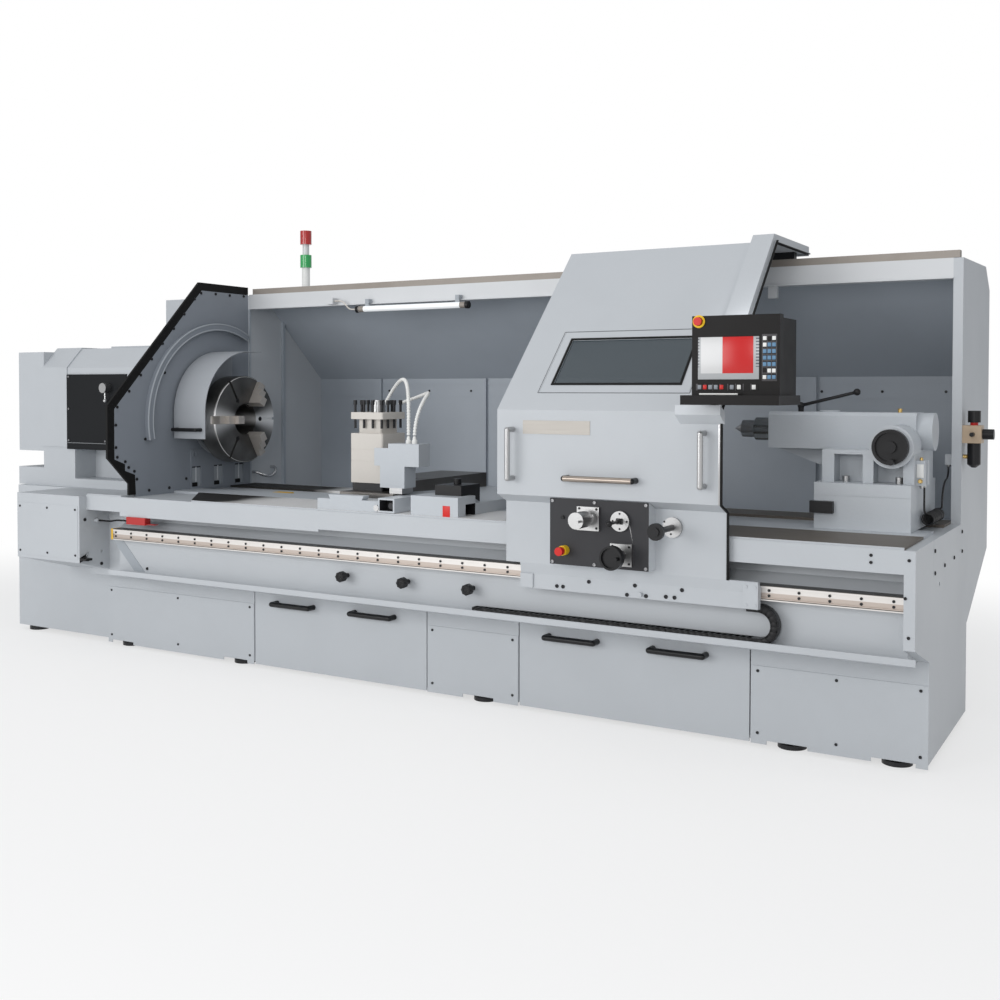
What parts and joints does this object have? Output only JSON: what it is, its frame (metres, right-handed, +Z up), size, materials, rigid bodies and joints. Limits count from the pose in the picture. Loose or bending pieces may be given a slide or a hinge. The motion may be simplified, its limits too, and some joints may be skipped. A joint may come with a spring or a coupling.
{
  "type": "cnc turning lathe",
  "caption": "Long flat-bed CNC turning lathe with a three-jaw chuck, tailstock, sliding guard with control panel and swivelling screen.",
  "frame": {"origin": "on the floor under the middle of the machine's bounding box", "axes": "+X from the headstock to the tailstock along the bed, +Y from the operator to the back, +Z up"},
  "size_m": [5.39, 2.12, 2.4],
  "materials": {
    "machine_paint": "satin light grey",
    "dark_panel": "satin blue-grey",
    "inner_wall": "satin grey",
    "ivory": "satin ivory",
    "bed_steel": "ground",
    "rail_steel": "brushed",
    "bright_steel": "polished",
    "dark_steel": "blackened",
    "machined_steel": "turned",
    "black_rubber": "matt",
    "black_plastic": "matt",
    "red_plastic": "gloss",
    "red_switch": "satin red",
    "white_plastic": "satin",
    "lamp_glass": "clear tube",
    "window_glass": "clear",
    "tower_plastic": "tinted",
    "pipe_metal": "corrugated",
    "air_plastic": "gloss"
  },
  "bodies": {
    "machine": {"base_cabinet": "machine_paint", "socket_screws": "dark_steel", "levelling_feet": "dark_steel", "left_cabinet": "machine_paint", "bed": "machine_paint", "bed_ways": "bed_steel", "bed_front_cover": "machine_paint", "guide_rail": "rail_steel", "fascia": "machine_paint", "right_housing": "machine_paint", "enclosure_walls": "machine_paint", "roof_beam": "inner_wall", "splash_plate": "dark_panel", "splash_seal": "black_rubber", "headstock": "machine_paint", "gear_panel": "machine_paint", "door_switch": "red_switch", "lamp": "lamp_glass", "signal_tower": "tower_plastic", "air_unit": "air_plastic", "coolant_pipe": "pipe_metal", "switch_cable": "black_rubber", "lamp_cable": "black_rubber"},
    "air_knob": {"air_knob": "black_plastic"},
    "speed_lever": {"speed_lever": "bright_steel"},
    "spindle": {"chuck": "machined_steel"},
    "jaw_1": {"jaw_1": "dark_steel"},
    "jaw_2": {"jaw_2": "dark_steel"},
    "jaw_3": {"jaw_3": "dark_steel"},
    "chuck_guard": {"chuck_guard": "machine_paint"},
    "saddle": {"saddle": "machine_paint"},
    "cross_slide": {"cross_slide": "machine_paint", "coolant_hoses": "white_plastic"},
    "tool_post": {"tool_post": "ivory", "clamp_bolts": "dark_steel"},
    "tailstock": {"tailstock": "machine_paint", "air_hose": "black_rubber"},
    "quill": {"quill": "bright_steel"},
    "live_centre": {"live_centre": "bright_steel"},
    "tailstock_wheel": {"tailstock_wheel": "black_plastic"},
    "quill_lever": {"quill_lever": "bright_steel"},
    "sliding_guard": {"guard_shell": "machine_paint", "guard_window": "window_glass", "guard_seals": "black_rubber", "guard_fittings": "rail_steel", "slide_beam": "machine_paint", "control_panel": "machine_paint", "cable_chain": "black_plastic"},
    "panel_stop": {"panel_stop": "red_plastic"},
    "feed_wheel_z": {"feed_wheel_z": "bright_steel"},
    "feed_wheel_x": {"feed_wheel_x": "black_plastic"},
    "joystick": {"joystick": "black_plastic"},
    "guard_knob": {"guard_knob": "black_plastic"},
    "pendant": {"pendant": "machine_paint"},
    "pendant_stop": {"pendant_stop": "red_plastic"},
    "bed_knob_1": {"bed_knob_1": "black_plastic"},
    "bed_knob_2": {"bed_knob_2": "black_plastic"},
    "bed_knob_3": {"bed_knob_3": "black_plastic"},
    "drawer_1": {"drawer_1": "machine_paint"},
    "drawer_2": {"drawer_2": "machine_paint"}
  },
  "joints": [
    {"name": "spindle_turn", "type": "hinge", "parent": "machine", "child": "spindle", "pos_m": [-1.26, 0.01, 1.27], "axis": [1, 0, 0], "continuous": true},
    {"name": "jaw_1_slide", "type": "slide", "parent": "spindle", "child": "jaw_1", "axis": [0, -1, 0], "range_m": [-0.012, 0.008]},
    {"name": "jaw_2_slide", "type": "slide", "parent": "spindle", "child": "jaw_2", "axis": [0, 0.5, 0.866], "range_m": [-0.012, 0.008]},
    {"name": "jaw_3_slide", "type": "slide", "parent": "spindle", "child": "jaw_3", "axis": [0, 0.5, -0.866], "range_m": [-0.012, 0.008]},
    {"name": "chuck_guard_swing", "type": "hinge", "parent": "machine", "child": "chuck_guard", "pos_m": [-1.403, 0.01, 1.27], "axis": [-1, 0, 0], "range_deg": [0, 75]},
    {"name": "saddle_slide", "type": "slide", "parent": "machine", "child": "saddle", "axis": [1, 0, 0], "range_m": [-0.95, 0.65]},
    {"name": "cross_slide_feed", "type": "slide", "parent": "saddle", "child": "cross_slide", "axis": [0, 1, 0], "range_m": [-0.06, 0.25]},
    {"name": "tool_post_index", "type": "hinge", "parent": "cross_slide", "child": "tool_post", "pos_m": [0.007, -0.377, 0.945], "axis": [0, 0, 1], "continuous": true},
    {"name": "tailstock_slide", "type": "slide", "parent": "machine", "child": "tailstock", "axis": [1, 0, 0], "range_m": [-0.65, 0]},
    {"name": "quill_feed", "type": "slide", "parent": "tailstock", "child": "quill", "axis": [-1, 0, 0], "range_m": [0, 0.2]},
    {"name": "live_centre_turn", "type": "hinge", "parent": "quill", "child": "live_centre", "pos_m": [1.8, 0.01, 1.27], "axis": [1, 0, 0], "continuous": true},
    {"name": "tailstock_wheel_turn", "type": "hinge", "parent": "tailstock", "child": "tailstock_wheel", "pos_m": [2.39, -0.21, 1.215], "axis": [0, -1, 0], "range_deg": [-1, 721]},
    {"name": "quill_lever_swing", "type": "hinge", "parent": "tailstock", "child": "quill_lever", "pos_m": [1.964, 0.01, 1.345], "axis": [0, 0, 1], "range_deg": [-60, 60]},
    {"name": "guard_slide", "type": "slide", "parent": "machine", "child": "sliding_guard", "axis": [1, 0, 0], "range_m": [-2.36, 0]},
    {"name": "pendant_swivel", "type": "hinge", "parent": "sliding_guard", "child": "pendant", "pos_m": [1.868, -0.82, 1.395], "axis": [0, 0, 1], "range_deg": [-60, 0]},
    {"name": "panel_stop_push", "type": "slide", "parent": "sliding_guard", "child": "panel_stop", "axis": [0, 1, 0], "range_m": [0, 0.006], "stiffness_N_per_m": 800, "springref_m": -0.003},
    {"name": "pendant_stop_push", "type": "slide", "parent": "pendant", "child": "pendant_stop", "axis": [0, 1, 0], "range_m": [0, 0.006], "stiffness_N_per_m": 800, "springref_m": -0.003},
    {"name": "feed_wheel_z_turn", "type": "hinge", "parent": "sliding_guard", "child": "feed_wheel_z", "pos_m": [1.34, -0.78, 0.927], "axis": [0, 1, 0], "continuous": true},
    {"name": "feed_wheel_x_turn", "type": "hinge", "parent": "sliding_guard", "child": "feed_wheel_x", "pos_m": [1.486, -0.78, 0.79], "axis": [0, 1, 0], "continuous": true},
    {"name": "joystick_tilt", "type": "hinge", "parent": "sliding_guard", "child": "joystick", "pos_m": [1.479, -0.796, 0.923], "axis": [1, 0, 0], "range_deg": [-15, 15]},
    {"name": "guard_knob_turn", "type": "hinge", "parent": "sliding_guard", "child": "guard_knob", "pos_m": [1.67, -0.72, 0.903], "axis": [0, 1, 0], "range_deg": [-90, 90]},
    {"name": "speed_lever_swing", "type": "hinge", "parent": "machine", "child": "speed_lever", "pos_m": [-1.908, -0.347, 1.446], "axis": [0, 1, 0], "range_deg": [-40, 40]},
    {"name": "air_knob_turn", "type": "hinge", "parent": "machine", "child": "air_knob", "pos_m": [2.616, 0.33, 1.296], "axis": [0, 0, 1], "continuous": true},
    {"name": "bed_knob_1_turn", "type": "hinge", "parent": "machine", "child": "bed_knob_1", "pos_m": [0.002, -0.6, 0.566], "axis": [0, 1, 0], "range_deg": [-90, 90]},
    {"name": "bed_knob_2_turn", "type": "hinge", "parent": "machine", "child": "bed_knob_2", "pos_m": [0.348, -0.6, 0.566], "axis": [0, 1, 0], "range_deg": [-90, 90]},
    {"name": "bed_knob_3_turn", "type": "hinge", "parent": "machine", "child": "bed_knob_3", "pos_m": [0.694, -0.6, 0.566], "axis": [0, 1, 0], "range_deg": [-90, 90]},
    {"name": "drawer_1_slide", "type": "slide", "parent": "machine", "child": "drawer_1", "axis": [0, -1, 0], "range_m": [0, 0.45]},
    {"name": "drawer_2_slide", "type": "slide", "parent": "machine", "child": "drawer_2", "axis": [0, -1, 0], "range_m": [0, 0.45]}
  ],
  "couplings": [
    {"joint": "jaw_2_slide", "follows": "jaw_1_slide", "ratio": 1},
    {"joint": "jaw_3_slide", "follows": "jaw_1_slide", "ratio": 1},
    {"joint": "tailstock_wheel_turn", "follows": "quill_feed", "rad_per_m": 62.832}
  ]
}
